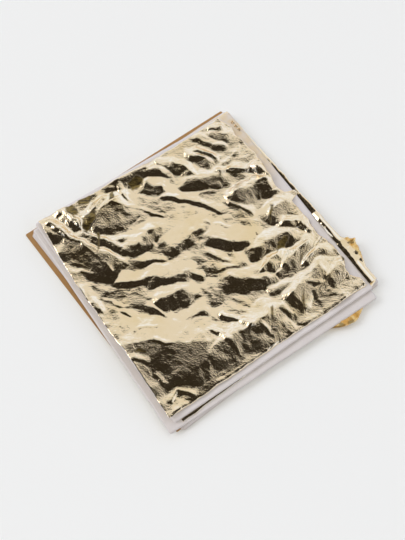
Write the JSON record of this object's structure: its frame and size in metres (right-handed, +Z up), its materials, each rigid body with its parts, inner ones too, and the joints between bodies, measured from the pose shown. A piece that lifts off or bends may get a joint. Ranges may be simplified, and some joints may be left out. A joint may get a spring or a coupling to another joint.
{
  "type": "gold leaf booklet",
  "caption": "Square loose-leaf pack of crumpled imitation gold leaf between tissues on a kraft sheet; each sheet lifts off the one below.",
  "frame": {"origin": "centre of the kraft cover sheet's underside, on the table", "axes": "+Z up through the pack, X and Y along the cover sheet's edges, with the torn fringe at +X and the widest tissue margin at -Y"},
  "size_m": [0.1531, 0.1542, 0.0086],
  "materials": {
    "kraft_cover": "matte",
    "tissue_paper": "matte",
    "metal_leaf": "polished"
  },
  "bodies": {
    "cover": {"cover_sheet": "kraft_cover"},
    "leaf_on_tissue_12": {"tissue_12": "tissue_paper", "gold_leaf_12": "metal_leaf"},
    "leaf_on_tissue_11": {"tissue_11": "tissue_paper", "gold_leaf_11": "metal_leaf"},
    "leaf_on_tissue_10": {"tissue_10": "tissue_paper", "gold_leaf_10": "metal_leaf"},
    "leaf_on_tissue_09": {"tissue_09": "tissue_paper", "gold_leaf_09": "metal_leaf"},
    "leaf_on_tissue_08": {"tissue_08": "tissue_paper", "gold_leaf_08": "metal_leaf"},
    "leaf_on_tissue_07": {"tissue_07": "tissue_paper", "gold_leaf_07": "metal_leaf"},
    "leaf_on_tissue_06": {"tissue_06": "tissue_paper", "gold_leaf_06": "metal_leaf"},
    "leaf_on_tissue_05": {"tissue_05": "tissue_paper", "gold_leaf_05": "metal_leaf"},
    "leaf_on_tissue_04": {"tissue_04": "tissue_paper", "gold_leaf_04": "metal_leaf"},
    "tissue_sheet_03": {"tissue_03": "tissue_paper"},
    "leaf_sheet_03": {"gold_leaf_03": "metal_leaf"},
    "tissue_sheet_02": {"tissue_02": "tissue_paper"},
    "leaf_sheet_02": {"gold_leaf_02": "metal_leaf"},
    "tissue_sheet_01": {"tissue_01": "tissue_paper", "leaf_flakes": "metal_leaf"},
    "leaf_sheet_01": {"gold_leaf_01": "metal_leaf"}
  },
  "joints": [
    {"name": "lift_leaf_on_tissue_12", "type": "slide", "parent": "cover", "child": "leaf_on_tissue_12", "axis": [0, 0, 1], "range_m": [0, 0.015]},
    {"name": "lift_leaf_on_tissue_11", "type": "slide", "parent": "leaf_on_tissue_12", "child": "leaf_on_tissue_11", "axis": [0, 0, 1], "range_m": [0, 0.015]},
    {"name": "lift_leaf_on_tissue_10", "type": "slide", "parent": "leaf_on_tissue_11", "child": "leaf_on_tissue_10", "axis": [0, 0, 1], "range_m": [0, 0.015]},
    {"name": "lift_leaf_on_tissue_09", "type": "slide", "parent": "leaf_on_tissue_10", "child": "leaf_on_tissue_09", "axis": [0, 0, 1], "range_m": [0, 0.015]},
    {"name": "lift_leaf_on_tissue_08", "type": "slide", "parent": "leaf_on_tissue_09", "child": "leaf_on_tissue_08", "axis": [0, 0, 1], "range_m": [0, 0.015]},
    {"name": "lift_leaf_on_tissue_07", "type": "slide", "parent": "leaf_on_tissue_08", "child": "leaf_on_tissue_07", "axis": [0, 0, 1], "range_m": [0, 0.015]},
    {"name": "lift_leaf_on_tissue_06", "type": "slide", "parent": "leaf_on_tissue_07", "child": "leaf_on_tissue_06", "axis": [0, 0, 1], "range_m": [0, 0.015]},
    {"name": "lift_leaf_on_tissue_05", "type": "slide", "parent": "leaf_on_tissue_06", "child": "leaf_on_tissue_05", "axis": [0, 0, 1], "range_m": [0, 0.015]},
    {"name": "lift_leaf_on_tissue_04", "type": "slide", "parent": "leaf_on_tissue_05", "child": "leaf_on_tissue_04", "axis": [0, 0, 1], "range_m": [0, 0.015]},
    {"name": "lift_tissue_sheet_03", "type": "slide", "parent": "leaf_on_tissue_04", "child": "tissue_sheet_03", "axis": [0, 0, 1], "range_m": [0, 0.015]},
    {"name": "lift_leaf_sheet_03", "type": "slide", "parent": "tissue_sheet_03", "child": "leaf_sheet_03", "axis": [0, 0, 1], "range_m": [0, 0.015]},
    {"name": "lift_tissue_sheet_02", "type": "slide", "parent": "leaf_sheet_03", "child": "tissue_sheet_02", "axis": [0, 0, 1], "range_m": [0, 0.015]},
    {"name": "lift_leaf_sheet_02", "type": "slide", "parent": "tissue_sheet_02", "child": "leaf_sheet_02", "axis": [0, 0, 1], "range_m": [0, 0.015]},
    {"name": "lift_tissue_sheet_01", "type": "slide", "parent": "leaf_sheet_02", "child": "tissue_sheet_01", "axis": [0, 0, 1], "range_m": [0, 0.015]},
    {"name": "lift_leaf_sheet_01", "type": "slide", "parent": "tissue_sheet_01", "child": "leaf_sheet_01", "axis": [0, 0, 1], "range_m": [0, 0.015]}
  ]
}
